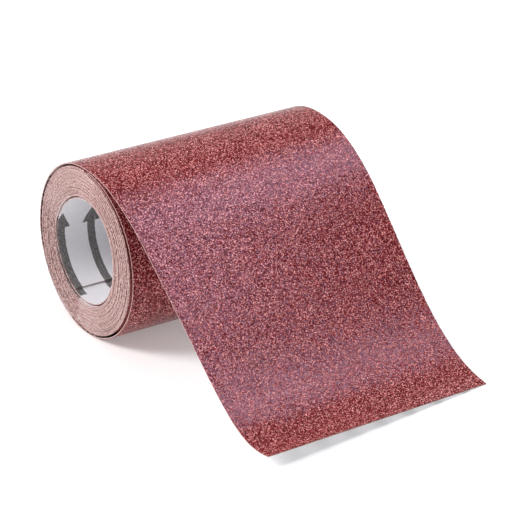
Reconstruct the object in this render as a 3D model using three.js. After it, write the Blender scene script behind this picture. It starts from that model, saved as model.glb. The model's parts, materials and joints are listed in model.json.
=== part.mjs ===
// A coreless roll of abrasive paper, 115 mm wide, standing on a bench with its free end draped.
//
// Millimetres, +Z up. The roll's axis is parallel to X and the free end leaves the top of the
// roll towards -Y. The origin is on the bench, under the middle of the roll.
//
// The whole product is one long strip of two layers: a paper backing, and on its outer side the
// resin coat that holds the grains. Each layer is cut here where the strip is free to bend, so
// that every stretch is a solid of its own: the wound pack, the loose outer wrap, the six
// stretches of the free end, and the cut inner end in the bore.

import * as THREE from "three";

// Driving dimensions of the strip.
const STRIP_WIDTH = 115;
const PAPER_THICKNESS = 0.22;
const COAT_THICKNESS = 0.18;
const LAYER_GAP = 0.05;

// Driving dimensions of the wound pack. Angles are in degrees, from +Y towards +Z.
const PACK_RADIUS = 35.65;
const PACK_BACK = 0.25;
const PACK_DROP = 0.12;
const PACK_WHOLE_TURNS = 24;
const PACK_STEP = 18;
const INNER_HINGE_ANGLE = 0;
const INNER_END_ANGLE = -66;
const INNER_END_STEPS = 4;
const INNER_END_EASE = 0.3;
const TOP_ANGLE = 90;

// Driving dimensions of the loose outer wrap.
const WRAP_RADIUS = 37.5;
const WRAP_STEP = 10;
const WRAP_TUCK = 0.8;
const WRAP_COLUMNS = 4;
const TUCK_START_ANGLE = -195;

// Driving dimensions of the free end. Its two edges hang differently, so each has its own
// length and its own slopes below the horizontal, in degrees, at equal steps along it.
const LEFT_EDGE = { length: 161, slopes: [0, 25.8, 36.1, 35.6, 35.7, 24.1, -13.8] };
const RIGHT_EDGE = { length: 153, slopes: [0, 27, 42.5, 43.8, 39.1, 24.1, 2] };
const TAIL_ROOT = 18;
const TAIL_LINKS = 6;
const LINK_STEPS = 5;
const LINK_GAP = 0.3;
const LINK_COLUMNS = 16;
const SKEW_START = 40;
const SKEW_LINEAR = 0.0134;
const SKEW_SQUARE = 0.00021;

// Worked out from the driving dimensions.
const PITCH = PAPER_THICKNESS + COAT_THICKNESS + 2 * LAYER_GAP;
const COAT_DEPTH = { outer: 0, inner: COAT_THICKNESS };
const PAPER_DEPTH = {
  outer: COAT_THICKNESS + LAYER_GAP,
  inner: COAT_THICKNESS + LAYER_GAP + PAPER_THICKNESS,
};
const RADIANS = Math.PI / 180;
const WRAP_CENTRE_Z = WRAP_RADIUS * Math.cos((WRAP_STEP / 2) * RADIANS);
const WRAP_TOP_Z = WRAP_CENTRE_Z + WRAP_RADIUS;
const PACK_CENTRE = { y: PACK_BACK, z: WRAP_CENTRE_Z - PACK_DROP };
const TAIL_LENGTH = (LEFT_EDGE.length + RIGHT_EDGE.length) / 2;
const LINK_LENGTH = (TAIL_LENGTH - TAIL_ROOT) / TAIL_LINKS;
const BORE_RADIUS = PACK_RADIUS - PITCH * (PACK_WHOLE_TURNS + 1);
const PROFILE_STEPS = 240;

const paperMaterial = new THREE.MeshStandardMaterial({
  name: "backing_paper",
  color: 0xd9d7dc,
  roughness: 0.75,
  metalness: 0,
});
const coatMaterial = new THREE.MeshStandardMaterial({
  name: "abrasive_coat",
  color: 0x8f3a38,
  roughness: 0.6,
  metalness: 0,
});

// A smooth curve through values at equal steps, read at a fraction from 0 to 1 (Catmull-Rom).
function smoothThrough(values, fraction) {
  const last = values.length - 1;
  const place = Math.min(Math.max(fraction, 0), 1) * last;
  const i = Math.min(Math.floor(place), last - 1);
  const t = place - i;
  const before = values[Math.max(i - 1, 0)];
  const after = values[Math.min(i + 2, last)];
  const a = (values[i + 1] - before) / 2;
  const b = (after - values[i]) / 2;
  const rise = values[i + 1] - values[i];
  return values[i] + a * t + (3 * rise - 2 * a - b) * t * t + (a + b - 2 * rise) * t * t * t;
}

// The points of one edge of the free end: its slope added up along its length from the top.
function edgeProfile(edge) {
  const points = [{ y: 0, z: WRAP_TOP_Z, slope: 0 }];
  const step = edge.length / PROFILE_STEPS;
  for (let i = 0; i < PROFILE_STEPS; i++) {
    const slope = smoothThrough(edge.slopes, (i + 0.5) / PROFILE_STEPS) * RADIANS;
    const from = points[i];
    const next = smoothThrough(edge.slopes, (i + 1) / PROFILE_STEPS) * RADIANS;
    points.push({
      y: from.y - step * Math.cos(slope),
      z: from.z - step * Math.sin(slope),
      slope: next,
    });
  }
  return points;
}

const LEFT_PROFILE = edgeProfile(LEFT_EDGE);
const RIGHT_PROFILE = edgeProfile(RIGHT_EDGE);

// One edge's point at a fraction of its length.
function readProfile(profile, fraction) {
  const place = Math.min(Math.max(fraction, 0), 1) * PROFILE_STEPS;
  const i = Math.min(Math.floor(place), PROFILE_STEPS - 1);
  const t = place - i;
  const mix = (key) => profile[i][key] + (profile[i + 1][key] - profile[i][key]) * t;
  return { y: mix("y"), z: mix("z"), slope: mix("slope") };
}

// The free end's outer surface: straight rulings between the two edges. Across goes from -0.5
// at the left edge to 0.5 at the right one, and the sheet walks a little to the left as it falls.
function tailPoint(along, across) {
  const left = readProfile(LEFT_PROFILE, along / TAIL_LENGTH);
  const right = readProfile(RIGHT_PROFILE, along / TAIL_LENGTH);
  const mix = (key) => left[key] + (right[key] - left[key]) * (across + 0.5);
  const past = Math.max(0, along - SKEW_START);
  const skew = SKEW_LINEAR * past + SKEW_SQUARE * past * past;
  const slope = mix("slope");
  return {
    x: across * STRIP_WIDTH - skew,
    y: mix("y"),
    z: mix("z"),
    normalY: -Math.sin(slope),
    normalZ: Math.cos(slope),
  };
}

// A point on a round turn at an angle, on the outer side of the strip.
function turnPoint(centre, radius, angle, across) {
  const normalY = Math.cos(angle * RADIANS);
  const normalZ = Math.sin(angle * RADIANS);
  return {
    x: across * STRIP_WIDTH,
    y: centre.y + radius * normalY,
    z: centre.z + radius * normalZ,
    normalY,
    normalZ,
  };
}

// The wound pack is a spiral that loses one pitch a turn, going inwards from its end at the top.
function packRadius(angle) {
  return PACK_RADIUS - (PITCH * (TOP_ANGLE - angle)) / 360;
}

function packPoint(angle, across) {
  return turnPoint(PACK_CENTRE, packRadius(angle), angle, across);
}

// The outer wrap is a loose circle that dips at its lower end, to pass under the free end.
function wrapPoint(angle, across) {
  const end = TOP_ANGLE - 360;
  const part = Math.min(Math.max((TUCK_START_ANGLE - angle) / (TUCK_START_ANGLE - end), 0), 1);
  const tuck = WRAP_TUCK * part * part * (3 - 2 * part);
  return turnPoint({ y: 0, z: WRAP_CENTRE_Z }, WRAP_RADIUS - tuck, angle, across);
}

// Evenly spaced stations from one value to another.
function evenly(from, to, steps) {
  return Array.from({ length: steps + 1 }, (_, i) => from + ((to - from) * i) / steps);
}

// One layer of one stretch: a flat box whose length is laid along the stations, whose width is
// the strip's, and whose thickness is measured down from the strip's outer surface. A stretch
// that twists is also divided across, so that its two layers stay parallel.
function layer(name, material, depth, stations, pointAt, columns) {
  const steps = stations.length - 1;
  const geometry = new THREE.BoxGeometry(1, 1, 1, columns, 1, steps);
  const position = geometry.attributes.position;
  for (let i = 0; i < position.count; i++) {
    const station = stations[Math.round((position.getZ(i) + 0.5) * steps)];
    const point = pointAt(station, position.getX(i));
    const down = position.getY(i) > 0 ? depth.outer : depth.inner;
    const y = point.y - down * point.normalY;
    const z = point.z - down * point.normalZ;
    position.setXYZ(i, point.x, y, z);
  }
  geometry.computeVertexNormals();
  const mesh = new THREE.Mesh(geometry, material);
  mesh.name = name;
  return mesh;
}

// A stretch of the strip is its paper and its coat.
function stretch(paperName, coatName, stations, pointAt, columns = 1) {
  const pair = new THREE.Group();
  pair.add(layer(paperName, paperMaterial, PAPER_DEPTH, stations, pointAt, columns));
  pair.add(layer(coatName, coatMaterial, COAT_DEPTH, stations, pointAt, columns));
  return pair;
}

// The wound pack, from its inner hinge line out to its end under the top of the wrap.
function woundPack() {
  const innermost = INNER_HINGE_ANGLE - 360 * PACK_WHOLE_TURNS;
  const steps = (TOP_ANGLE - innermost) / PACK_STEP;
  return stretch("backing_coil", "abrasive_coil", evenly(innermost, TOP_ANGLE, steps), packPoint);
}

// The last stretch of the strip inside the bore, up to the cut inner end. It stands a little
// off the turn behind it.
function innerEnd() {
  const innermost = INNER_HINGE_ANGLE - 360 * PACK_WHOLE_TURNS;
  const gapAngle = LINK_GAP / BORE_RADIUS / RADIANS;
  const stations = evenly(innermost + INNER_END_ANGLE, innermost - gapAngle, INNER_END_STEPS);
  const easedPoint = (angle, across) =>
    turnPoint(PACK_CENTRE, packRadius(angle) - INNER_END_EASE, angle, across);
  return stretch("inner_end_backing", "inner_end_abrasive", stations, easedPoint);
}

// The loose wrap, from its tucked end round the front, bottom and back, over the top and along
// the root of the free end. Its lowest facet is level and rests on the bench.
function outerWrap() {
  const half = WRAP_STEP / 2;
  const round = evenly(TOP_ANGLE - 360 + half, TOP_ANGLE - half, 360 / WRAP_STEP - 1);
  const root = evenly(0, TAIL_ROOT - LINK_GAP / 2, 3);
  const stations = [
    ...round.map((angle) => ({ angle })),
    ...root.map((along) => ({ along })),
  ];
  const pointAt = (station, across) =>
    "angle" in station ? wrapPoint(station.angle, across) : tailPoint(station.along, across);
  return stretch("outer_wrap_backing", "outer_wrap_abrasive", stations, pointAt, WRAP_COLUMNS);
}

// One of the six stretches of the free end, with half a hinge gap at each end.
function tailLink(number) {
  const from = TAIL_ROOT + (number - 1) * LINK_LENGTH + LINK_GAP / 2;
  const last = number === TAIL_LINKS;
  const to = TAIL_ROOT + number * LINK_LENGTH - (last ? 0 : LINK_GAP / 2);
  const stations = evenly(from, to, LINK_STEPS);
  const names = [`tail_${number}_backing`, `tail_${number}_abrasive`];
  return stretch(...names, stations, tailPoint, LINK_COLUMNS);
}

const group = new THREE.Group();
group.name = "abrasive_paper_roll";
group.add(woundPack());
group.add(innerEnd());
group.add(outerWrap());
for (let number = 1; number <= TAIL_LINKS; number++) {
  group.add(tailLink(number));
}

export default group;
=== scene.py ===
# %% [markdown]
# # A coreless roll of abrasive paper, with its free end draped on the bench
#
# Abrasive paper on a roll is one long strip. Its inside is a printed paper backing, and its
# outside is a coat of resin full of hard grains. There is no core: the strip is wound on itself,
# and only its own stiffness keeps the pack open in the middle.
#
# This lesson builds that strip as what it is. Every surface is a grid of points worked out by
# numpy from one or two lines, because a strip of paper rolls up but hardly stretches: once the
# line that it follows is known, the whole surface is known.

# %% The frame, and the sizes that it gives
import json

import bpy
import numpy as np
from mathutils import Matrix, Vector


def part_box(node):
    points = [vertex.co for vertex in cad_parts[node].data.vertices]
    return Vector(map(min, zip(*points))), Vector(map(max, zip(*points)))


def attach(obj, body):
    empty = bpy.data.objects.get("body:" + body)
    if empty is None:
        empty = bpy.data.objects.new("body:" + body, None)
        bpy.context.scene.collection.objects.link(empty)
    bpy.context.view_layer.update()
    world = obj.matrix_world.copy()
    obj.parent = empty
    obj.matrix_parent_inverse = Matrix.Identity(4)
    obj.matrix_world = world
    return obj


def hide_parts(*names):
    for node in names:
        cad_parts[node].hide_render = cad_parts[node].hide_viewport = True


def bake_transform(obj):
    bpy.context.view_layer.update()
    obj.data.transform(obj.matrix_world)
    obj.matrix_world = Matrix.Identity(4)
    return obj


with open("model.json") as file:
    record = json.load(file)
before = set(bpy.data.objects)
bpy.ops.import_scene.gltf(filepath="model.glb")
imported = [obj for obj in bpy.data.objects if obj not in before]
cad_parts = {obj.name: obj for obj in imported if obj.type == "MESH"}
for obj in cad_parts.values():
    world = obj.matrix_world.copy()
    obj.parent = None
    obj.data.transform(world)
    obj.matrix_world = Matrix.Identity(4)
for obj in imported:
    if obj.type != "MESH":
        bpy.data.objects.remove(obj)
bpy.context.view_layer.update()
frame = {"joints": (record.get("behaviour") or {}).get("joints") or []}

MM = 0.001
_, wrap_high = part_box("outer_wrap_abrasive")
pack_low, pack_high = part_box("abrasive_coil")
STRIP_WIDTH = pack_high.x - pack_low.x
WRAP_RADIUS = wrap_high.y
WRAP_CENTRE = np.array([0.0, wrap_high.z - WRAP_RADIUS])
joint_by_name = {joint["name"]: joint for joint in frame["joints"]}
PACK_CENTRE = np.array(joint_by_name["pack_turn"]["pos_m"][1:])
print("strip width", round(STRIP_WIDTH / MM, 1), "mm, wrap radius", round(WRAP_RADIUS / MM, 2), "mm")

# %% [markdown]
# ## Two layers
#
# Depths are measured down from the outer side of the strip, through the coat and then the paper.
# A real coat ends in the crests of its grains, so its outer side is not one depth but a field of
# small heights. The two layers stop a hair short of each other, so that no two faces coincide.

# %% Depths of the two layers
COAT_DEPTH = 0.20 * MM
PAPER_TOP = 0.215 * MM
PAPER_BOTTOM = 0.44 * MM
GRAIN_RELIEF = 0.04 * MM
# The grid's step is a little more than a grain, which keeps each piece under 200,000 triangles.
GRAIN_STEP = 0.56 * MM
paper_thickness = PAPER_BOTTOM - PAPER_TOP
print("paper", round(paper_thickness / MM, 3), "mm thick, coat", round(COAT_DEPTH / MM, 2), "mm")

# %% [markdown]
# ## A mesh from whole arrays
#
# Blender can take all the points of a mesh at once, which is far quicker than adding them one by
# one. Each point also carries a pair of numbers, its place on the flat strip. Blender keeps such
# pairs on the corners of the faces, as a UV map, so each corner is given its point's pair.

# %% A piece from points and faces


def new_piece(name, points, faces, uv=None):
    """A mesh object from points and faces. uv, one pair for each point, goes onto every corner."""
    mesh = bpy.data.meshes.new(name)
    mesh.from_pydata(points, [], faces)
    if uv is not None:
        corner_point = np.empty(len(mesh.loops), np.int32)
        mesh.loops.foreach_get("vertex_index", corner_point)
        layer = mesh.uv_layers.new(name="strip")
        layer.data.foreach_set("uv", uv[corner_point].astype(np.float32).ravel())
    piece = bpy.data.objects.new(name, mesh)
    bpy.context.scene.collection.objects.link(piece)
    return piece


# %% [markdown]
# ## The two edges of the free end
#
# The free end leaves the top of the roll level, steepens, hangs, and flattens again as the bench
# takes its weight, and its two edges do so differently. So each edge is given by its slope below
# the horizontal: seven values in degrees at equal steps, joined by a smooth curve. Adding up the
# slope along the edge gives the edge itself, at exactly the length that it was given. Points
# placed by hand would make it longer or shorter with every change of shape.

# %% Slopes of the two edges
LEFT_EDGE = {"length": 161 * MM, "slopes": (0, 25.8, 36.1, 35.6, 35.7, 24.1, -13.8)}
RIGHT_EDGE = {"length": 153 * MM, "slopes": (0, 27, 42.5, 43.8, 39.1, 24.1, 2)}
TAIL_LENGTH = (LEFT_EDGE["length"] + RIGHT_EDGE["length"]) / 2
TOP_Z = WRAP_CENTRE[1] + WRAP_RADIUS


def smooth_through(values, fraction):
    """The Catmull-Rom curve through values at equal steps, read at fractions from 0 to 1: between
    two values it is the cubic that has there the mean slope of the steps before and after."""
    values = np.asarray(values, float)
    last = len(values) - 1
    place = np.clip(fraction, 0, 1) * last
    i = np.minimum(place.astype(int), last - 1)
    t = place - i
    start, end = values[i], values[i + 1]
    a = (end - values[np.maximum(i - 1, 0)]) / 2
    b = (values[np.minimum(i + 2, last)] - start) / 2
    rise = end - start
    return start + a * t + (3 * rise - 2 * a - b) * t**2 + (a + b - 2 * rise) * t**3


halfway = [float(smooth_through(edge["slopes"], np.array(0.5))) for edge in (LEFT_EDGE, RIGHT_EDGE)]
print("slopes halfway down, left and right:", halfway, "degrees")

# %% Adding up the slope


def edge_line(edge, steps=960):
    """y, z and slope at equal steps along an edge: each step goes forward by the cosine of the
    slope and down by its sine."""
    middle = (np.arange(steps) + 0.5) / steps
    slope = np.radians(smooth_through(edge["slopes"], middle))
    step = edge["length"] / steps
    y = np.concatenate([[0], -np.cumsum(np.cos(slope))]) * step
    z = TOP_Z - np.concatenate([[0], np.cumsum(np.sin(slope))]) * step
    ends = np.radians(smooth_through(edge["slopes"], np.linspace(0, 1, steps + 1)))
    return np.stack([y, z, ends])


LEFT_LINE, RIGHT_LINE = edge_line(LEFT_EDGE), edge_line(RIGHT_EDGE)
print("corners of the free end, y and z in mm:", LEFT_LINE[:2, -1] / MM, RIGHT_LINE[:2, -1] / MM)

# %% [markdown]
# ## The sheet between the edges
#
# Paper that bends without stretching is made of straight lines, its rulings. So a straight ruling
# joins the two edges at each fraction of their lengths. The left edge is 8 mm longer than the
# right one, so this sheet is not quite free of stretch, a price paid for edges that hang so
# differently. It also walks a little to the left as it falls.

# %% Rulings between the two edges
SKEW_START = 40 * MM
SKEW_LINEAR = 0.0134
# Per metre, because it goes with the square of a length.
SKEW_SQUARE = 0.21


def read_line(line, fraction):
    """y, z and slope of an edge at fractions of its length."""
    place = np.linspace(0, 1, line.shape[1])
    return np.stack([np.interp(fraction, place, row) for row in line])


def free_end(along, across):
    """Points and outward normals of the free end. Straight rulings join the two edges at equal
    fractions of their lengths; the sheet walks sideways by a line plus a square of the length."""
    fraction = along / TAIL_LENGTH
    left, right = read_line(LEFT_LINE, fraction), read_line(RIGHT_LINE, fraction)
    y, z, slope = left + (right - left) * (across / STRIP_WIDTH + 0.5)
    past = np.maximum(0, along - SKEW_START)
    x = across - SKEW_LINEAR * past - SKEW_SQUARE * past**2
    normal = np.stack([0 * y, -np.sin(slope), np.cos(slope)], -1)
    return np.stack([x, y, z], -1), normal


corner, _ = free_end(np.array([TAIL_LENGTH]), np.array([-STRIP_WIDTH / 2]))
print("left corner of the free end, in mm:", np.round(corner[0] / MM, 1))

# %% [markdown]
# ## The loose wrap
#
# Seen from the end of the roll, the outermost turn is a loose circle. It is a little flatter at
# the rear, it has a small flat where the roll presses it on the bench, and a tuck takes its lower
# end in under the free end. A circle whose radius is a sum of such gentle changes stays smooth
# all the way round. Angles are in the plane across the roll, from the rear towards the top.

# %% Angles and gentle changes round the roll
REAR_ANGLE = np.radians(8)
REAR_WIDTH = np.radians(42)


def angle_from(angle, middle):
    """The shortest way round from one angle to another, in radians."""
    return (angle - middle + np.pi) % (2 * np.pi) - np.pi


def bell(angle, middle, half_width):
    """A bell curve round the roll: e to the power of minus the square of the angle from the
    middle, over the half width."""
    return np.exp(-(angle_from(angle, middle) / half_width) ** 2)


def smooth_step(part):
    """From 0 to 1 with level ends: three times the square, less twice the cube."""
    return part**2 * (3 - 2 * part)


def turn(centre, radius, angle, across):
    """Points and normals of a round turn: the centre plus the radius along an angle, from +Y."""
    angle, radius, across = np.broadcast_arrays(angle, radius, across)
    out_y, out_z = np.cos(angle), np.sin(angle)
    points = np.stack([across, centre[0] + radius * out_y, centre[1] + radius * out_z], -1)
    return points, np.stack([0 * out_y, out_y, out_z], -1)


at_top = float(bell(np.pi / 2, REAR_ANGLE, REAR_WIDTH))
print("what is left of the flat rear at the top:", round(at_top, 3))

# %% The wrap, and the whole visible strip
TUCK = 0.8 * MM
# Turned backwards from the top: where the tuck starts, and where the strip is cut.
TUCK_START = np.radians(285)
WRAP_END = np.radians(356)
BENCH_FLAT = 0.03 * MM
REAR_FLAT = 0.4 * MM


def loose_wrap(back, across):
    """The outer wrap, at a length back from the top: a circle, flatter at the rear by a bell curve,
    whose radius eases down by the tuck towards its end, by a smooth step. Nowhere does it go
    below the bench."""
    turned = back / WRAP_RADIUS
    part = np.clip((turned - TUCK_START) / (2 * np.pi - TUCK_START), 0, 1)
    radius = WRAP_RADIUS - TUCK * smooth_step(part)
    radius = radius - REAR_FLAT * bell(np.pi / 2 - turned, REAR_ANGLE, REAR_WIDTH)
    points, normal = turn(WRAP_CENTRE, radius, np.pi / 2 - turned, across)
    points[..., 2] = np.maximum(points[..., 2], BENCH_FLAT)
    return points, normal


def strip(along, across):
    """The whole visible strip: the wrap where the length is negative, the free end where not."""
    along, across = np.broadcast_arrays(along, across)
    wrapped, wrapped_out = loose_wrap(-along, across)
    hanging, hanging_out = free_end(np.maximum(along, 0), across)
    on_tail = (along >= 0)[..., None]
    return np.where(on_tail, hanging, wrapped), np.where(on_tail, hanging_out, wrapped_out)


print("visible strip", round((WRAP_END * WRAP_RADIUS + TAIL_LENGTH) / MM), "mm long")

# %% [markdown]
# ## One field of grains for the whole strip
#
# The free end has to bend, so it is made of several pieces, and the pieces must meet exactly. The
# way to be sure is to cut them all from one sheet: one list of stations along the strip, one list
# across it, and one random height for each crossing. Neighbours share the station where they
# meet, so they share its heights too. Sharp random heights are the grains, and a blurred copy of
# other random heights stands for clumps of them.

# %% Stations and grain heights
rng = np.random.default_rng(80)
wrap_steps = int(WRAP_END * WRAP_RADIUS / GRAIN_STEP)
tail_steps = int(TAIL_LENGTH / GRAIN_STEP)
STATIONS = np.concatenate([
    np.linspace(-WRAP_END * WRAP_RADIUS, 0, wrap_steps + 1)[:-1],
    np.linspace(0, TAIL_LENGTH, tail_steps + 1),
])
ACROSS = np.linspace(-STRIP_WIDTH / 2, STRIP_WIDTH / 2, int(STRIP_WIDTH / GRAIN_STEP) + 1)
CLUMP_SHARE = 0.2
EDGE_WEAR = 0.05 * MM


def blurred(field):
    """The mean of each value and its four neighbours."""
    ring = sum(np.roll(field, shift, axis) for shift in (-1, 1) for axis in (0, 1))
    return (field + ring) / 5


def grain_heights(rows, columns):
    """Random heights from 0 to 1: sharp grains, and a share of clumps stretched to that range."""
    sharp = rng.random((rows, columns))
    clumps = blurred(blurred(rng.random((rows, columns))))
    clumps = (clumps - clumps.min()) / (clumps.max() - clumps.min())
    return (1 - CLUMP_SHARE) * sharp + CLUMP_SHARE * clumps


HEIGHTS = grain_heights(len(STATIONS), len(ACROSS)) * GRAIN_RELIEF
EDGE_JITTER = rng.normal(0, 1, (2, len(STATIONS))) * EDGE_WEAR
print("grain field", HEIGHTS.shape, "steps of", round(GRAIN_STEP / MM, 2), "mm")

# %% [markdown]
# ## Closing the two layers
#
# A sheet with a thickness is a closed body: a top, a bottom, two long edges and two ends. The coat
# needs its fine grid only on top. Its bottom is straight across, so one wide face a station is
# enough, and the ends are single many-sided faces. The paper is the same body with nothing fine.
# Top and bottom wear one material and the cut edges another, as on the real strip, where a knife
# has opened the fibres.

# %% A closed layer from a top grid and a bottom grid


def closed_layer(name, top, bottom, uv_top, uv_bottom):
    """A body from a top grid (stations, columns, 3) and a bottom grid (stations, 2, 3): quads on
    the top, one quad a station on the bottom and on each edge, and one face at each end. The top
    and the bottom have the first material, the edges and the ends the second."""
    rows, columns = top.shape[:2]
    index = np.arange(rows * columns).reshape(rows, columns)
    under = rows * columns + np.arange(rows * 2).reshape(rows, 2)
    quads = [
        (index[:-1, :-1], index[:-1, 1:], index[1:, 1:], index[1:, :-1]),
        (under[:-1, :1], under[1:, :1], under[1:, 1:], under[:-1, 1:]),
        (under[:-1, :1], index[:-1, :1], index[1:, :1], under[1:, :1]),
        (index[:-1, -1:], under[:-1, 1:], under[1:, 1:], index[1:, -1:]),
    ]
    faces = np.concatenate([np.stack(quad, -1).reshape(-1, 4) for quad in quads]).tolist()
    faces.append([*under[0].tolist(), *index[0, ::-1].tolist()])
    faces.append([*under[-1, ::-1].tolist(), *index[-1].tolist()])
    points = np.concatenate([top.reshape(-1, 3), bottom.reshape(-1, 3)])
    uv = np.concatenate([uv_top.reshape(-1, 2), uv_bottom.reshape(-1, 2)])
    # The faces are listed as seen from inside, so each is turned over to point outwards.
    piece = new_piece(name, points, [face[::-1] for face in faces], uv)
    top_and_bottom = (rows - 1) * (columns - 1) + (rows - 1)
    material_index = np.ones(len(faces), np.int32)
    material_index[:top_and_bottom] = 0
    piece.data.polygons.foreach_set("material_index", material_index)
    return piece


def strip_uv(along, across):
    """The strip's own measure: metres across from its left edge, and the place along it, which is
    in metres on the visible strip and in radians turned inside the pack."""
    along, across = np.broadcast_arrays(along, across)
    return np.stack([across + STRIP_WIDTH / 2, along], -1)


# %% The cut at the very end of the strip
# Each wave of the cut: height in millimetres, radians a millimetre, and where it starts.
CUT_WAVES = ((0.20, 0.11, 0.6), (0.09, 0.31, 2.0), (0.04, 1.3, 0.0))
CUT_SHORT = 0.34 * MM


def cut_end(along, across):
    """Stations that spread, by their share of the way to the last one, to a cut that waves by a
    sum of three sines and stays a little short of the full length."""
    wave = sum(height * np.sin(across / MM * rate + start) for height, rate, start in CUT_WAVES)
    share = (along - along[0]) / (along[-1] - along[0])
    return along + share * (wave * MM - CUT_SHORT)


ragged = cut_end(np.array([[0.0], [1.0]]), ACROSS)[1]
print("the cut waves by", round(float(np.ptp(ragged)) / MM, 2), "mm across the strip")

# %% The coat and the paper of one stretch
EDGE_GRAINS_LOST = 0.7
SUNK_GRAINS = 0.45


def strip_stretch(number, first, last, cut=False):
    """The coat and the paper of one stretch, from one station to another: the strip's surface,
    moved out along its normals by the grain heights, and in by each layer's depth. Part of the
    relief lies below the surface, and along the two long edges most of it is worn away."""
    rows = slice(first, last + 1)
    along, across = np.broadcast_arrays(STATIONS[rows, None], ACROSS[None, :])
    if cut:
        along = cut_end(along, across)
    points, out = strip(along, across)
    rim = np.zeros(len(ACROSS))
    rim[[0, -1]] = 1
    lift = HEIGHTS[rows] * (1 - EDGE_GRAINS_LOST * rim) - GRAIN_RELIEF * SUNK_GRAINS
    coat_top = points + out * lift[..., None]
    coat_top[:, 0, 0] += EDGE_JITTER[0, rows]
    coat_top[:, -1, 0] += EDGE_JITTER[1, rows]
    sides, sides_out = points[:, [0, -1]], out[:, [0, -1]]
    uv = strip_uv(along, across)
    uv_sides = uv[:, [0, -1]]
    coat_bottom = sides - sides_out * COAT_DEPTH
    coat = closed_layer(f"strip_coat_{number}", coat_top, coat_bottom, uv, uv_sides)
    paper_top = sides - sides_out * PAPER_TOP
    paper_bottom = sides - sides_out * PAPER_BOTTOM
    paper = closed_layer(f"strip_paper_{number}", paper_top, paper_bottom, uv_sides, uv_sides)
    return coat, paper


# %% [markdown]
# ## Cutting the strip where it bends
#
# The free end bends at six lines. Each line gets a piece that reaches from the middle of one link
# to the middle of the next. The cuts fall in the middles of the links.

# %% Where the cuts fall
tail_joints = [joint for joint in frame["joints"] if joint["name"].startswith("tail_")]
tail_joints.sort(key=lambda joint: -joint["pos_m"][2])


def station_near(y_of_middle):
    """The station whose middle point is nearest to a place along Y."""
    middle = strip(STATIONS[STATIONS >= 0], 0.0)[0][:, 1]
    return int(np.argmin(np.abs(middle - y_of_middle))) + int(np.sum(STATIONS < 0))


hinge_station = [station_near(joint["pos_m"][1]) for joint in tail_joints]
link_steps = hinge_station[1] - hinge_station[0]
last_station = len(STATIONS) - 1
cuts = [hinge_station[0] - link_steps // 2]
cuts += [(a + b) // 2 for a, b in zip(hinge_station[:-1], hinge_station[1:])]
cuts += [(hinge_station[-1] + last_station) // 2]
print("cuts at", np.round(STATIONS[cuts] / MM, 1), "mm from the top")

# %% The wrap, six bending pieces and the last flat
strip_pieces = []
for number, (first, last) in enumerate(zip([0, *cuts], [*cuts, last_station])):
    coat, paper = strip_stretch(number, first, last, cut=last == last_station)
    strip_pieces.append((coat, paper))
    print(coat.name, "from", round(STATIONS[first] / MM, 1), "to", round(STATIONS[last] / MM, 1), "mm")

# %% [markdown]
# ## The wound pack
#
# The pack is a spiral, but never a perfect one. It is a little taller than wide, flatter at the
# rear, and slack at the front, where the turns sag inwards more the nearer they are to the bore.
# A spiral's radius as a function of the angle turned says all of that in one line of sums. The
# outermost turn stays clear of the loose wrap, because the pack can turn inside it.

# %% Radius of the spiral
PACK_TOP_RADIUS = 36.15 * MM
PACK_PITCH = 0.5 * MM
PACK_OVAL = 0.2 * MM
PACK_REAR = 0.6 * MM
PACK_FRONT = 0.5 * MM
FRONT_SLACK = 2.0 * MM
FRONT_WIDTH = np.radians(50)
WHOLE_TURNS = 24
# The innermost turn starts to stand free after this many turns.
INNER_TURN_START = WHOLE_TURNS - 0.85
INNER_TURN_GAP = 0.6 * MM
LOOSENING_TURNS = 0.2


def even_radius(turned):
    """Outer radius of the strip after turning inwards, slivers apart: less by one pitch a turn.
    The outer turns are taller than wide, by a cosine of twice the angle, and flatter at the rear,
    by a bell curve. At the front a second bell curve grows inwards. A smooth step loosens the
    innermost turn."""
    angle = np.pi / 2 - turned
    inwards = turned / (2 * np.pi * (WHOLE_TURNS + 1))
    loose = np.clip((turned / (2 * np.pi) - INNER_TURN_START) / LOOSENING_TURNS, 0, 1)
    radius = PACK_TOP_RADIUS - PACK_PITCH * turned / (2 * np.pi)
    radius = radius - PACK_OVAL * (1 - inwards) * np.cos(2 * angle)
    radius = radius - PACK_REAR * (1 - inwards) * bell(angle, REAR_ANGLE, REAR_WIDTH)
    front = PACK_FRONT + FRONT_SLACK * inwards
    radius = radius - front * bell(angle, np.pi, FRONT_WIDTH)
    return radius - INNER_TURN_GAP * smooth_step(loose)


outer_turn = even_radius(np.linspace(0, 2 * np.pi, 73))
print("outermost turn of the pack, radius", np.round([outer_turn.min() / MM, outer_turn.max() / MM], 2), "mm")

# %% [markdown]
# ## Slivers of air between the turns
#
# Paper relaxes after it is cut, so here and there a turn has sprung inwards and left a dark
# sliver of air behind it. A sliver starts and ends gently: its width is a bell curve of the
# angle, and everything inside it is pushed in by the same amount. Cutting the slivers out of a
# finished pack would be far more work than leaving them out of the spiral's radius.

# %% Slivers, and the depth that is left for each turn
# Each sliver: whole turns outside it, then the angle of its middle and its half width in degrees,
# and its size in millimetres.
SLIVERS = (
    (2, 215, 45, 0.05), (3, 238, 26, 0.16), (5, 240, 24, 0.14), (7, 236, 26, 0.12),
    (9, 250, 26, 0.10), (12, 262, 30, 0.10), (15, 250, 28, 0.08), (17, 60, 30, 0.12),
    (18, 50, 26, 0.14), (19, 58, 34, 0.18), (20, 48, 28, 0.14), (21, 66, 36, 0.18),
)
TURN_CLEARANCE = 0.02 * MM
THICKEST_TURN = 0.56 * MM


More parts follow.
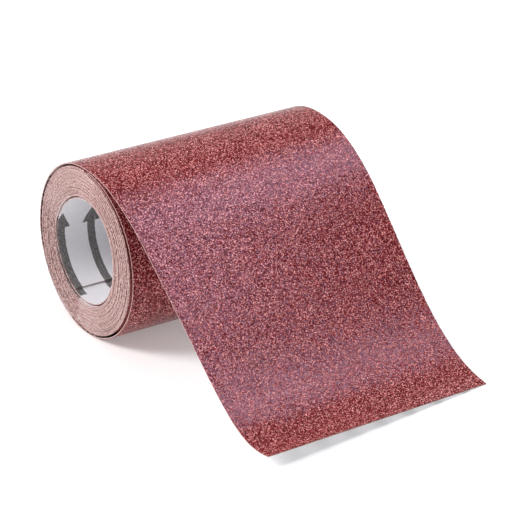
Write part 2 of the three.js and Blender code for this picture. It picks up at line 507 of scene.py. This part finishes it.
def spiral_radius(turned):
    """The even radius, less each sliver's bell curve once the strip has passed inside it. It
    passes inside on the far side of the roll, where the bell curve has died away."""
    angle = np.pi / 2 - turned
    radius = even_radius(turned)
    for turns, middle, half_width, size in SLIVERS:
        middle, half_width = np.radians(middle), np.radians(half_width)
        opposite = (np.pi / 2 - middle + np.pi) % (2 * np.pi)
        inside = turned > turns * 2 * np.pi + opposite
        radius = radius - size * MM * bell(angle, middle, half_width) * inside
    return radius


def wound_depth(turned):
    """Depth of the paper's inner side in the pack: a hair short of the turn inside it."""
    room = even_radius(turned) - even_radius(turned + 2 * np.pi)
    return np.minimum(room - TURN_CLEARANCE, THICKEST_TURN)


def coat_depth(turned):
    """Depth of the coat's inner side, the same all the way round."""
    return np.full_like(turned, COAT_DEPTH)


print("slivers take", round(sum(size for *_, size in SLIVERS), 2), "mm in all")

# %% [markdown]
# ## Turns that stand proud of each other
#
# Seen from the end of the roll, the turns are not level. The winding wandered by a tenth of a
# millimetre or so, and the innermost turn has been pushed in by a finger. A few slow sine waves
# of the number of turns give the wander, without any jump from one turn to the next.

# %% Sideways shift
# Each wave of the winding: height in millimetres, radians a turn, and where it starts.
WINDING_WAVES = ((0.10, 2.3, 0), (0.06, 5.1, 1), (0.04, 11.7, 2))
PUSHED_IN = 0.6 * MM
PUSHING_TURNS = 0.25


def sideways(turned):
    """How far a turn stands to the right: the sum of the winding's waves, which gives way by a
    smooth step to the innermost turn's push."""
    turns = turned / (2 * np.pi)
    waves = sum(height * np.sin(turns * rate + start) for height, rate, start in WINDING_WAVES)
    pushed = np.clip((turns - INNER_TURN_START) / PUSHING_TURNS, 0, 1)
    return waves * MM * (1 - pushed) + PUSHED_IN * smooth_step(pushed)


wander = sideways(np.linspace(0, 2 * np.pi * INNER_TURN_START, 999))
print("turns wander from", np.round([wander.min() / MM, wander.max() / MM], 2), "mm")

# %% [markdown]
# ## The spiral's four pieces
#
# The strip in the pack is one coat and one paper, and its last quarter turn in the bore can be
# lifted like a flap, so there it is cut into a pack and an inner end. Both are made by the same
# function from where they start and stop. The inner end eases away from the turn behind it.

# %% Where the inner end starts and stops
INNER_HINGE = np.pi / 2 + 2 * np.pi * WHOLE_TURNS
INNER_START = INNER_HINGE - np.radians(22)
INNER_STOP = INNER_HINGE + np.radians(65.5)
INNER_EASE = 0.22 * MM
EASE_SPAN = np.radians(88)


def spiral_stations(start, stop, step):
    """Angles turned inwards, from stop back to start, a step of length apart at the mean radius."""
    mean = spiral_radius(np.array([start, stop])).mean()
    return np.linspace(stop, start, int((stop - start) * mean / step) + 1)


def spiral_points(turned, across, depth):
    """Points of the spiral at a depth below its outer side, with its sideways shift. The inner end
    eases inwards by the square of the angle past its start."""
    eased = INNER_EASE * np.clip((turned - INNER_START) / EASE_SPAN, 0, 1) ** 2
    radius = spiral_radius(turned) - eased - depth
    points, _ = turn(PACK_CENTRE, radius, np.pi / 2 - turned, across)
    points[..., 0] += sideways(turned)
    return points


tip = spiral_points(np.array([INNER_STOP]), np.array([0.0]), PAPER_BOTTOM)
print("cut inner end at y, z in mm:", np.round(tip[0, 1:] / MM, 1))

# %% Coat and paper of the pack and of the inner end
SPIRAL_STEP = 0.5 * MM
EDGE_INSET = 0.06 * MM
COAT_ROUGHNESS = 0.10 * MM
PAPER_ROUGHNESS = 0.05 * MM


def spiral_layer(name, start, stop, top_depth, bottom_depth, roughness):
    """One layer of the spiral. Its section has six corners, four of them on the outer side, and
    each station's two edges are jittered, as torn fibres and broken grains are."""
    turned = spiral_stations(start, stop, SPIRAL_STEP)[:, None]
    half = STRIP_WIDTH / 2
    across = np.array([-half, -half + EDGE_INSET, half - EDGE_INSET, half])[None, :]
    top = spiral_points(turned, across, top_depth)
    bottom = spiral_points(turned, across[:, [0, -1]], bottom_depth(turned))
    jitter = rng.normal(0, roughness, (len(turned), 4))
    top[:, 0, 0] += jitter[:, 0]
    top[:, -1, 0] += jitter[:, 1]
    bottom[:, 0, 0] += jitter[:, 2]
    bottom[:, -1, 0] += jitter[:, 3]
    uv = strip_uv(turned, across)
    return closed_layer(name, top, bottom, uv, uv[:, [0, -1]])


pack_coat = spiral_layer("pack_coat", 0, INNER_START, 0, coat_depth, COAT_ROUGHNESS)
pack_paper = spiral_layer("pack_paper", 0, INNER_START, PAPER_TOP, wound_depth, PAPER_ROUGHNESS)
inner_coat = spiral_layer("inner_coat", INNER_START, INNER_STOP, 0, coat_depth, COAT_ROUGHNESS)
inner_paper = spiral_layer("inner_paper", INNER_START, INNER_STOP, PAPER_TOP, wound_depth, PAPER_ROUGHNESS)
turned = np.linspace(0, INNER_STOP, 9999)
wound_length = float(np.trapz(spiral_radius(turned), turned))
print("wound length", round(wound_length, 2), "m, faces of the pack's coat", len(pack_coat.data.polygons))

# %% [markdown]
# ## Materials in nodes
#
# A material in Blender is a small network: each node takes values in, works on them and passes
# them on. The helpers here make one node each and join it up, so that a material reads from top
# to bottom like a recipe. All patterns are measured on the strip itself, through its UV map, so
# they bend and wind with it.

# %% A new material, and the strip's own coordinates


def new_material(name):
    """An empty node material with its shader and output."""
    material = bpy.data.materials.new(name)
    material.use_nodes = True
    nodes, links = material.node_tree.nodes, material.node_tree.links
    nodes.clear()
    shader = nodes.new("ShaderNodeBsdfPrincipled")
    output = nodes.new("ShaderNodeOutputMaterial")
    links.new(shader.outputs["BSDF"], output.inputs["Surface"])
    return material, nodes, links, shader


def strip_coordinates(nodes, links, scale):
    """The strip's own coordinates, times a scale: cells or waves a metre."""
    uv = nodes.new("ShaderNodeUVMap")
    uv.uv_map = "strip"
    stretch = nodes.new("ShaderNodeVectorMath")
    stretch.operation = "SCALE"
    stretch.inputs["Scale"].default_value = scale
    links.new(uv.outputs["UV"], stretch.inputs[0])
    return stretch.outputs[0]


# %% Nodes that reckon and mix


def math(nodes, links, operation, a, b=None, clamp=False):
    """A math node; its inputs are sockets or numbers."""
    node = nodes.new("ShaderNodeMath")
    node.operation = operation
    node.use_clamp = clamp
    for socket, value in zip(node.inputs, (a, b)):
        if value is None:
            continue
        if isinstance(value, (int, float)):
            socket.default_value = value
        else:
            links.new(value, socket)
    return node.outputs[0]


def ramp(nodes, links, value, stops):
    """A colour ramp through (position, colour) stops."""
    node = nodes.new("ShaderNodeValToRGB")
    elements = node.color_ramp.elements
    elements[0].position, elements[0].color = stops[0][0], (*stops[0][1], 1)
    elements[1].position, elements[1].color = stops[-1][0], (*stops[-1][1], 1)
    for position, colour in stops[1:-1]:
        elements.new(position).color = (*colour, 1)
    links.new(value, node.inputs["Fac"])
    return node.outputs["Color"]


def mixed(nodes, links, factor, a, b, blend="MIX"):
    """A colour mix; factor and colours are sockets or values."""
    node = nodes.new("ShaderNodeMix")
    node.data_type = "RGBA"
    node.blend_type = blend
    for socket, value in ((node.inputs["Factor"], factor), (node.inputs["A"], a), (node.inputs["B"], b)):
        if isinstance(value, (int, float)):
            socket.default_value = value
        elif isinstance(value, tuple):
            socket.default_value = (*value, 1)
        else:
            links.new(value, socket)
    return node.outputs["Result"]


# %% Nodes that make cells and noise


def cells(nodes, links, vector):
    """Two-dimensional cells, each with a random colour: three random numbers in one."""
    node = nodes.new("ShaderNodeTexVoronoi")
    node.voronoi_dimensions = "2D"
    node.inputs["Scale"].default_value = 1
    links.new(vector, node.inputs["Vector"])
    return node.outputs["Color"]


def one_number(nodes, links, colour, channel):
    """One of the three random numbers of a cell."""
    split = nodes.new("ShaderNodeSeparateColor")
    links.new(colour, split.inputs["Color"])
    return split.outputs[channel]


def noise(nodes, links, vector, detail):
    """Two-dimensional noise at the scale of its coordinates."""
    node = nodes.new("ShaderNodeTexNoise")
    node.noise_dimensions = "2D"
    node.inputs["Scale"].default_value = 1
    node.inputs["Detail"].default_value = detail
    links.new(vector, node.inputs["Vector"])
    return node.outputs["Fac"]


# %% [markdown]
# ## The coat of grains
#
# The coat is crushed garnet-red mineral bound in dark resin. Up close every grain is a different
# red, some are nearly black and a few catch the light. A cell pattern gives each grain its own
# colour and its own tilt, which is what makes the real thing sparkle, and the palest cells are a
# painted glint: a pale pink highlight put into the colour. Slower noise gives the blotches of a
# real coating line. Two sizes of cell are added up, because crushed grains are never all one size.

# %% The tilt of each grain
GRAIN_TILT = 0.28


def grain_tilt(nodes, links, colour):
    """The surface normal, plus each cell's own random vector about zero, made unit length."""
    centred = nodes.new("ShaderNodeVectorMath")
    centred.operation = "SUBTRACT"
    centred.inputs[1].default_value = (0.5, 0.5, 0.5)
    links.new(colour, centred.inputs[0])
    scaled = nodes.new("ShaderNodeVectorMath")
    scaled.operation = "SCALE"
    scaled.inputs["Scale"].default_value = GRAIN_TILT
    links.new(centred.outputs[0], scaled.inputs[0])
    geometry = nodes.new("ShaderNodeNewGeometry")
    added = nodes.new("ShaderNodeVectorMath")
    added.operation = "ADD"
    links.new(geometry.outputs["Normal"], added.inputs[0])
    links.new(scaled.outputs[0], added.inputs[1])
    unit = nodes.new("ShaderNodeVectorMath")
    unit.operation = "NORMALIZE"
    links.new(added.outputs[0], unit.inputs[0])
    return unit.outputs[0]


# %% The coat's material
GRAIN_CELLS = 1000 / 0.38
FINE_CELLS = 1000 / 0.26
FINE_SHARE = 0.45
BLOTCH_WAVES = 60
# From resin with hardly a grain, through three reds, to a painted glint: the pale pink of a grain's
# highlight, put into its colour.
GRAIN_AND_GLINT_COLOURS = (
    (0.12, (0.045, 0.003, 0.003)),
    (0.40, (0.105, 0.006, 0.006)),
    (0.56, (0.170, 0.008, 0.009)),
    (0.69, (0.325, 0.021, 0.022)),
    (0.79, (0.950, 0.430, 0.410)),
)
BLOTCH_COLOURS = ((0.3, (0.94, 0.93, 0.93)), (0.7, (1.04, 1.03, 1.03)))
SMOOTHEST_GRAIN, ROUGHNESS_RANGE = 0.15, 0.10


def coat_material():
    """Grains coloured by a share of coarse and a share of fine random numbers, times slow
    blotches; where the numbers are highest the colour is a painted glint. Each coarse cell tilts its
    own way, and each fine cell has its own roughness."""
    material, nodes, links, shader = new_material("abrasive_coat")
    coarse = cells(nodes, links, strip_coordinates(nodes, links, GRAIN_CELLS))
    fine = cells(nodes, links, strip_coordinates(nodes, links, FINE_CELLS))
    coarse_part = math(nodes, links, "MULTIPLY", one_number(nodes, links, coarse, "Red"), 1 - FINE_SHARE)
    fine_part = math(nodes, links, "MULTIPLY", one_number(nodes, links, fine, "Red"), FINE_SHARE)
    # The ramp's top stop paints a glint, a grain's pale pink highlight, into the colour.
    grains = ramp(nodes, links, math(nodes, links, "ADD", coarse_part, fine_part), GRAIN_AND_GLINT_COLOURS)
    blotch = noise(nodes, links, strip_coordinates(nodes, links, BLOTCH_WAVES), 3)
    shade = ramp(nodes, links, blotch, BLOTCH_COLOURS)
    links.new(mixed(nodes, links, 1.0, grains, shade, "MULTIPLY"), shader.inputs["Base Color"])
    rough = math(nodes, links, "MULTIPLY", one_number(nodes, links, fine, "Green"), ROUGHNESS_RANGE)
    links.new(math(nodes, links, "ADD", rough, SMOOTHEST_GRAIN), shader.inputs["Roughness"])
    shader.inputs["Specular IOR Level"].default_value = 0.18
    shader.inputs["Specular Tint"].default_value = (0.80, 0.60, 0.94, 1)
    links.new(grain_tilt(nodes, links, coarse), shader.inputs["Normal"])
    return material


coat_finish = coat_material()
print("material", coat_finish.name, "with", len(coat_finish.node_tree.nodes), "nodes")

# %% [markdown]
# ## The paper
#
# The backing is a tough, pale paper, slightly blue, with a felt of fibres. Makers print running
# direction arrows on it, because coated paper should be used one way round. The arrow here is a
# plain one: a shaft and a triangular head, drawn by comparing the strip's own coordinates. On the
# pack the second coordinate is the angle turned, so the arrows line up from turn to turn.

# %% The arrow
BORE_RADIUS = 23.0 * MM
ARROW_COLUMNS = 14.6 * MM
FIRST_ARROW = 1.5 * MM
ARROW_LENGTH = 40 * MM
HEAD_LENGTH = 8 * MM
HEAD_WIDTH = 8.6 * MM
SHAFT_WIDTH = 3.7 * MM
ARROW_PITCH = np.pi * BORE_RADIUS


def arrow(nodes, links, metres_a_unit, start):
    """1 on an arrow and 0 beside it. Across, the distance to the nearest column of arrows is
    compared with half the shaft's width, or with half the head's, which grows from its tip. Along,
    the place within one arrow's pitch is compared with the lengths of the head and the arrow."""
    uv = nodes.new("ShaderNodeUVMap")
    uv.uv_map = "strip"
    split = nodes.new("ShaderNodeSeparateXYZ")
    links.new(uv.outputs["UV"], split.inputs[0])
    column = math(nodes, links, "SUBTRACT", split.outputs["X"], FIRST_ARROW - ARROW_COLUMNS / 2)
    column = math(nodes, links, "FLOORED_MODULO", column, ARROW_COLUMNS)
    aside = math(nodes, links, "ABSOLUTE", math(nodes, links, "SUBTRACT", column, ARROW_COLUMNS / 2))
    metres = math(nodes, links, "MULTIPLY", split.outputs["Y"], metres_a_unit)
    past_start = math(nodes, links, "SUBTRACT", metres, start)
    place = math(nodes, links, "FLOORED_MODULO", past_start, ARROW_PITCH)
    in_shaft = math(nodes, links, "LESS_THAN", aside, SHAFT_WIDTH / 2)
    behind_head = math(nodes, links, "GREATER_THAN", place, HEAD_LENGTH)
    in_shaft = math(nodes, links, "MULTIPLY", in_shaft, behind_head)
    before_tail = math(nodes, links, "LESS_THAN", place, ARROW_LENGTH)
    in_shaft = math(nodes, links, "MULTIPLY", in_shaft, before_tail)
    head_half = math(nodes, links, "MULTIPLY", place, HEAD_WIDTH / 2 / HEAD_LENGTH)
    in_head = math(nodes, links, "LESS_THAN", aside, head_half)
    in_head = math(nodes, links, "MULTIPLY", in_head, math(nodes, links, "LESS_THAN", place, HEAD_LENGTH))
    return math(nodes, links, "MAXIMUM", in_shaft, in_head)


print("arrows", round(ARROW_LENGTH / MM), "mm long, one every", round(ARROW_PITCH / MM, 1), "mm along")

# %% The paper's material
INK = (0.036, 0.028, 0.022)
INK_WAVES = 700
INK_STRENGTH, INK_MISSING = 2.2, 0.22
FIBRE_WAVES = 420
PAPER_COLOURS = ((0.3, (0.70, 0.685, 0.72)), (0.7, (0.86, 0.85, 0.88)))
# Where the arrows start: on the pack from the angle of the tip turned from the top, on the
# visible strip from its place along the free end.
PACK_TIP = (np.pi / 2 - np.radians(23.5)) * BORE_RADIUS
FREE_END_TIP = 30 * MM


def paper_material(name, metres_a_unit, arrow_start):
    """Pale paper mottled by fibre noise, with arrows whose ink is the arrow's shape times a
    patchy noise, kept between 0 and 1."""
    material, nodes, links, shader = new_material(name)
    printed = arrow(nodes, links, metres_a_unit, arrow_start)
    patchy = noise(nodes, links, strip_coordinates(nodes, links, INK_WAVES), 3)
    cover = math(nodes, links, "ADD", math(nodes, links, "MULTIPLY", patchy, INK_STRENGTH), -INK_MISSING)
    ink = math(nodes, links, "MULTIPLY", printed, cover, True)
    fibre = noise(nodes, links, strip_coordinates(nodes, links, FIBRE_WAVES), 4)
    paper = ramp(nodes, links, fibre, PAPER_COLOURS)
    links.new(mixed(nodes, links, ink, paper, INK), shader.inputs["Base Color"])
    shader.inputs["Roughness"].default_value = 0.62
    shader.inputs["Specular IOR Level"].default_value = 0.35
    bump = nodes.new("ShaderNodeBump")
    bump.inputs["Strength"].default_value = 0.25
    bump.inputs["Distance"].default_value = 0.1 * MM
    links.new(fibre, bump.inputs["Height"])
    links.new(bump.outputs["Normal"], shader.inputs["Normal"])
    return material


wound_paper = paper_material("wound_paper", BORE_RADIUS, PACK_TIP)
flat_paper = paper_material("flat_paper", -1.0, FREE_END_TIP)
print("materials", wound_paper.name, "and", flat_paper.name)

# %% [markdown]
# ## Cut edges
#
# A knife leaves the edge of the paper as a line of pale fibres, and the edge of the coat as a row
# of broken grains. Side by side in the pack these lines make the pink, speckled end of the roll.
# Noise between a dark and a light colour is enough at this size. On a loose edge the noise is
# measured along the strip. On the pack it is measured in space, because there the turns lie side
# by side as one face, and the specks should not repeat from turn to turn.

# %% Edge materials


def edge_material(name, light, dark, speck, in_space=False):
    """Noise about a speck in size, turned into colour by a ramp from dark to light."""
    material, nodes, links, shader = new_material(name)
    if in_space:
        place = nodes.new("ShaderNodeTexCoord")
        texture = nodes.new("ShaderNodeTexNoise")
        texture.inputs["Scale"].default_value = 1 / speck
        texture.inputs["Detail"].default_value = 1.5
        links.new(place.outputs["Object"], texture.inputs["Vector"])
        speckle = texture.outputs["Fac"]
    else:
        speckle = noise(nodes, links, strip_coordinates(nodes, links, 1 / speck), 1)
    colour = ramp(nodes, links, speckle, ((0.36, dark), (0.60, light)))
    links.new(colour, shader.inputs["Base Color"])
    shader.inputs["Roughness"].default_value = 0.85
    shader.inputs["Specular IOR Level"].default_value = 0.25
    return material


SPECK, PACK_SPECK = 0.5 * MM, 0.40 * MM
paper_edge = edge_material("paper_edge", (0.68, 0.52, 0.50), (0.42, 0.27, 0.26), SPECK)
coat_edge = edge_material("coat_edge", (0.42, 0.17, 0.16), (0.16, 0.04, 0.04), SPECK)
pack_paper_edge = edge_material(
    "pack_paper_edge", (0.64, 0.485, 0.46), (0.26, 0.14, 0.135), PACK_SPECK, in_space=True)
pack_coat_edge = edge_material(
    "pack_coat_edge", (0.57, 0.37, 0.35), (0.19, 0.08, 0.08), PACK_SPECK, in_space=True)
print("specks of", round(SPECK / MM, 2), "mm on loose edges and", round(PACK_SPECK / MM, 2), "mm on the pack")

# %% Each piece's two materials
wound_pieces = [(pack_coat, pack_paper), (inner_coat, inner_paper)]
for coat, paper in strip_pieces:
    coat.data.materials.append(coat_finish)
    coat.data.materials.append(coat_edge)
    paper.data.materials.append(flat_paper)
    paper.data.materials.append(paper_edge)
for coat, paper in wound_pieces:
    coat.data.materials.append(coat_finish)
    coat.data.materials.append(pack_coat_edge)
    paper.data.materials.append(wound_paper)
    # The inner end's own edge is thin and pale, so it wears its paper all round.
    paper.data.materials.append(wound_paper if paper is inner_paper else pack_paper_edge)
print(2 * len(strip_pieces + wound_pieces), "pieces with two materials each")

# %% [markdown]
# ## Joining the pieces to the bodies that move
#
# The wrap, the pack and the last flat each ride on one body. For a bending piece the way square to
# its hinge line, half a bend long, is worked out, but the piece itself is only fixed where it lies
# and is not joined to a body. The inner end is also only fixed where it lies.

# %% The visible strip
HALF_BEND = 8.5 * MM
bodies = ["outer_wrap"] + [joint["child"] for joint in tail_joints]
for number, (coat, paper) in enumerate(strip_pieces):
    for piece in (coat, paper):
        if number in (0, len(strip_pieces) - 1):
            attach(piece, bodies[min(number, len(bodies) - 1)])
            continue
        joint = tail_joints[number - 1]
        pivot, axis = np.array(joint["pos_m"]), np.array(joint["axis"])
        down_the_strip = strip(STATIONS[cuts[number]], 0.0)[0] - pivot
        square = down_the_strip - axis * (down_the_strip @ axis)
        square *= HALF_BEND / np.linalg.norm(square)
        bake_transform(piece)
for number, (coat, paper) in enumerate(strip_pieces[:-1]):
    name = "outer_wrap" if number == 0 else f"tail_{number}"
    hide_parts(f"{name}_abrasive")
    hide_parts(f"{name}_backing")
print("bodies of the strip:", bodies)

# %% The pack and the inner end
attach(pack_coat, "wound_pack")
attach(pack_paper, "wound_pack")
for piece in (inner_coat, inner_paper):
    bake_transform(piece)
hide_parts("abrasive_coil")
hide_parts("backing_coil")
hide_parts("inner_end_abrasive")
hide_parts("inner_end_backing")
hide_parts("tail_6_abrasive")
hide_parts("tail_6_backing")

# %% Shading
COAT_CREASE, PAPER_CREASE = 60, 40


def shade_by_angle(piece, degrees):
    """Smooth shading everywhere, with a crease wherever two faces meet at more than an angle."""
    piece.data.shade_smooth()
    piece.data.set_sharp_from_angle(angle=np.radians(degrees))


for coat, paper in [*strip_pieces, *wound_pieces]:
    shade_by_angle(coat, COAT_CREASE)
    shade_by_angle(paper, PAPER_CREASE)
print("creases above", COAT_CREASE, "degrees on the coat and", PAPER_CREASE, "on the paper")

# %% [markdown]
# ## The floor
#
# A studio sweep is a sheet of white card that lies flat and curves up behind the object, so that
# no line shows where floor meets wall. It is one profile carried sideways. The card here also
# glows faintly, as card does when it is lit from behind, and that keeps it white.

# %% The bench and its backdrop


def sweep(name, half_width, front, back, rise, radius):
    """A floor that curves up into a wall: its profile is a line, a quarter circle and a line."""
    bend = np.linspace(0, np.pi / 2, 17)
    y = np.concatenate([[front], back + radius * np.sin(bend), [back + radius]])
    z = np.concatenate([[0], radius * (1 - np.cos(bend)), [rise]])
    x = np.array([-half_width, half_width])
    points = np.stack(np.broadcast_arrays(x[None, :], y[:, None], z[:, None]), -1).reshape(-1, 3)
    index = np.arange(len(y) * 2).reshape(-1, 2)
    faces = np.stack([index[:-1, 0], index[:-1, 1], index[1:, 1], index[1:, 0]], -1).tolist()
    piece = new_piece(name, points, faces)
    piece.data.shade_smooth()
    return piece


floor = sweep("floor", half_width=6.0, front=-6.0, back=3.0, rise=5.0, radius=1.5)
floor_material, _, _, floor_shader = new_material("floor_white")
floor_shader.inputs["Base Color"].default_value = (0.88, 0.88, 0.88, 1)
floor_shader.inputs["Roughness"].default_value = 0.6
floor_shader.inputs["Emission Color"].default_value = (1, 1, 1, 1)
floor_shader.inputs["Emission Strength"].default_value = 0.25
floor.data.materials.append(floor_material)
print("floor of", len(floor.data.polygons), "faces")

# %% [markdown]
# ## The camera
#
# A long lens a good metre away shows the roll almost without perspective, as a maker's catalogue
# does. The camera stands along one direction from the middle of the roll, and its aim is then
# turned a little off that middle, so that the roll sits to the left and the free end has room.

# %% Where the camera stands and looks
ROLL_MIDDLE = Vector((0, 0, 42)) * MM
AZIMUTH, ELEVATION = np.radians(-33.1), np.radians(23.9)
DISTANCE = 1.263
SENSOR = 36
LENS = 203.7736
# The aim, as sideways and upward steps for each step forward.
AIM_RIGHT, AIM_UP = 0.0208667, -0.0182
toward_camera = Vector((
    np.sin(AZIMUTH) * np.cos(ELEVATION),
    -np.cos(AZIMUTH) * np.cos(ELEVATION),
    np.sin(ELEVATION),
))
camera_data = bpy.data.cameras.new("camera")
camera_data.sensor_width = SENSOR
camera_data.lens = LENS
camera_data.clip_end = 50
camera = bpy.data.objects.new("camera", camera_data)
camera.location = ROLL_MIDDLE + toward_camera * DISTANCE
level = toward_camera.to_track_quat("Z", "Y")
aim = level @ Vector((AIM_RIGHT, AIM_UP, -1))
camera.rotation_mode = "QUATERNION"
camera.rotation_quaternion = (-toward_camera).rotation_difference(aim) @ level
bpy.context.scene.collection.objects.link(camera)
bpy.context.scene.camera = camera
print("camera", round(DISTANCE, 2), "m away with a", round(LENS), "mm lens")

# %% [markdown]
# ## The light
#
# Two soft boxes and an even, pale sky. The one overhead stands a little to the right. The free
# end has two slopes that mirror it, one just over the shoulder of the roll and one where the
# paper flattens, and both show it as violet bands. The other stands at the rear left and lights
# the cut end of the roll. From there it does not shine straight along the gap at the front.

# %% The lights


def softbox(name, direction, distance, size, power, colour):
    """A square area light at a distance along a direction, facing the roll."""
    data = bpy.data.lights.new(name, "AREA")
    data.shape = "SQUARE"
    data.size = size
    data.energy = power
    data.color = colour
    lamp = bpy.data.objects.new(name, data)
    lamp.location = Vector(direction).normalized() * distance
    lamp.rotation_euler = Vector(direction).to_track_quat("Z", "Y").to_euler()
    bpy.context.scene.collection.objects.link(lamp)
    print(name, "softbox,", power, "W at", distance, "m")


softbox("overhead", (0.50, -0.06, 0.87), 1.6, 0.6, 15, (0.95, 0.95, 1.0))
softbox("side", (-0.76, 0.25, 0.62), 1.8, 0.7, 30, (1.0, 0.98, 0.97))
world = bpy.data.worlds.new("studio")
world.use_nodes = True
world.node_tree.nodes["Background"].inputs["Color"].default_value = (1.0, 1.0, 1.0, 1)
world.node_tree.nodes["Background"].inputs["Strength"].default_value = 0.34
bpy.context.scene.world = world
bpy.context.scene.view_settings.view_transform = "Standard"
